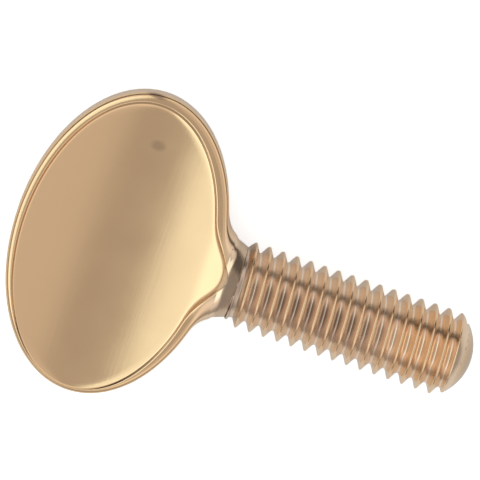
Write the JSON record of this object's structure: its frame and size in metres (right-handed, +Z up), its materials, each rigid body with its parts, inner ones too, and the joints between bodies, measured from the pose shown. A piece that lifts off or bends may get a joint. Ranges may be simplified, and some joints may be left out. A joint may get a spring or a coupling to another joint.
{
  "type": "thumb screw",
  "caption": "One-piece solid brass thumb screw: oval spade head dished on both sides, short plain neck, coarse M6 thread with a domed point.",
  "frame": {"origin": "bottom centre of the bounding box, on the surface that the screw lies on", "axes": "+X from the head towards the threaded point, +Y across the width of the spade head, +Z up, through the upper face of the head"},
  "size_m": [0.0326, 0.0214, 0.0076],
  "materials": {
    "brass": "satin-polished solid brass"
  },
  "bodies": {
    "root": {"thumb_screw": "brass"}
  },
  "joints": []
}
